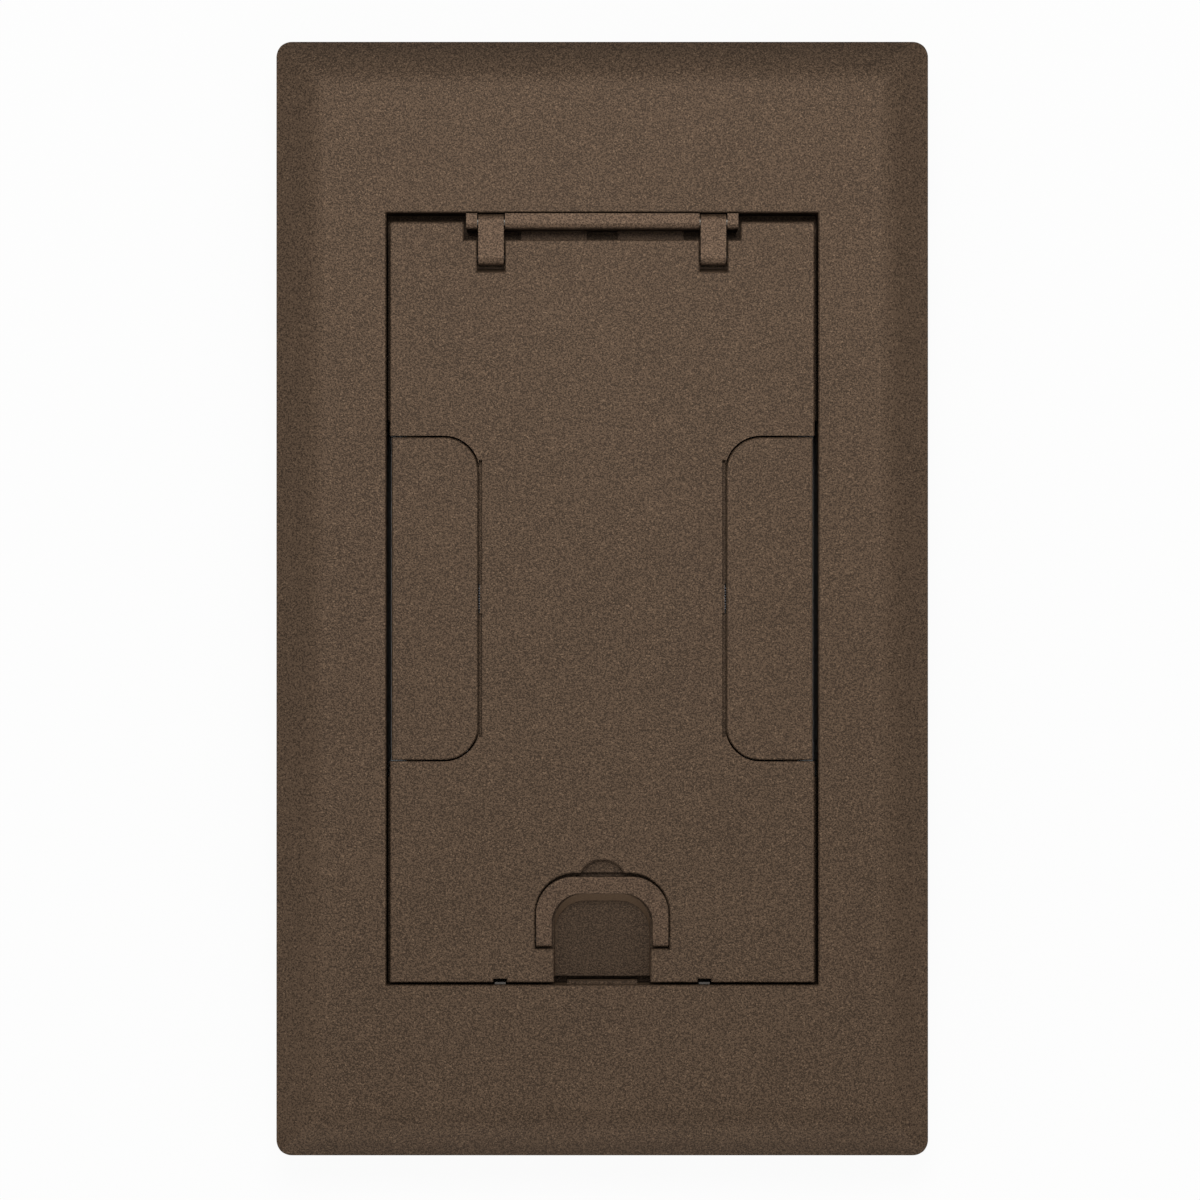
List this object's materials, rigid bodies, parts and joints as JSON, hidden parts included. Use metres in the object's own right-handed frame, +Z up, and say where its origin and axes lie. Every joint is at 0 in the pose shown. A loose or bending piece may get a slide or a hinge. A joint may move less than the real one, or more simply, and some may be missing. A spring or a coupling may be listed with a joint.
{
  "type": "floor box cover",
  "caption": "Flanged floor box cover with a lid on a double hinge, sprung cord doors at both sides, a flat lift handle and a finger scoop.",
  "frame": {"origin": "middle of the well's lower edge, on the plane on which the part rests", "axes": "+Z up out of the floor, +Y towards the hinge, +X to the right seen from above with the hinge at the top"},
  "size_m": [0.134, 0.229, 0.023],
  "materials": {
    "bronze_coat": "satin",
    "steel": "satin",
    "spring_steel": "satin",
    "rubber": "matte",
    "foam": "matte"
  },
  "bodies": {
    "frame": {"cover_frame": "bronze_coat", "floor_gasket": "foam", "hinge_bracket": "bronze_coat", "bracket_pin_left": "steel", "bracket_screw_left": "steel", "catch_spring_left": "spring_steel", "catch_screw_left": "steel", "rest_pad_front_left": "rubber", "rest_pad_rear_left": "rubber", "bracket_pin_right": "steel", "bracket_screw_right": "steel", "catch_spring_right": "spring_steel", "catch_screw_right": "steel", "rest_pad_front_right": "rubber", "rest_pad_rear_right": "rubber"},
    "links": {"hinge_link_left": "bronze_coat", "hinge_link_right": "bronze_coat"},
    "lid": {"lid": "bronze_coat", "lid_pin_left": "steel", "door_pin_left": "steel", "door_spring_left": "spring_steel", "bail_pin_left": "steel", "lid_pin_right": "steel", "door_pin_right": "steel", "door_spring_right": "spring_steel", "bail_pin_right": "steel"},
    "left_door": {"cord_door_left": "bronze_coat"},
    "right_door": {"cord_door_right": "bronze_coat"},
    "bail": {"bail_handle": "bronze_coat"}
  },
  "joints": [
    {"name": "link_hinge", "type": "hinge", "parent": "frame", "child": "links", "pos_m": [0, 0.07735, 0.0214], "axis": [-1, 0, 0], "range_deg": [0, 92]},
    {"name": "lid_hinge", "type": "hinge", "parent": "links", "child": "lid", "pos_m": [0, 0.07, 0.0214], "axis": [-1, 0, 0], "range_deg": [0, 88]},
    {"name": "left_door_hinge", "type": "hinge", "parent": "lid", "child": "left_door", "pos_m": [-0.025, 0, 0.0195], "axis": [0, -1, 0], "range_deg": [0, 88], "stiffness_Nm_per_rad": 0.006, "springref_deg": -68.75, "deforming": ["door_spring_left"]},
    {"name": "right_door_hinge", "type": "hinge", "parent": "lid", "child": "right_door", "pos_m": [0.025, 0, 0.0195], "axis": [0, 1, 0], "range_deg": [0, 88], "stiffness_Nm_per_rad": 0.006, "springref_deg": -68.75, "deforming": ["door_spring_right"]},
    {"name": "bail_hinge", "type": "hinge", "parent": "lid", "child": "bail", "pos_m": [0, -0.0699, 0.0215], "axis": [1, 0, 0], "range_deg": [0, 100]}
  ]
}
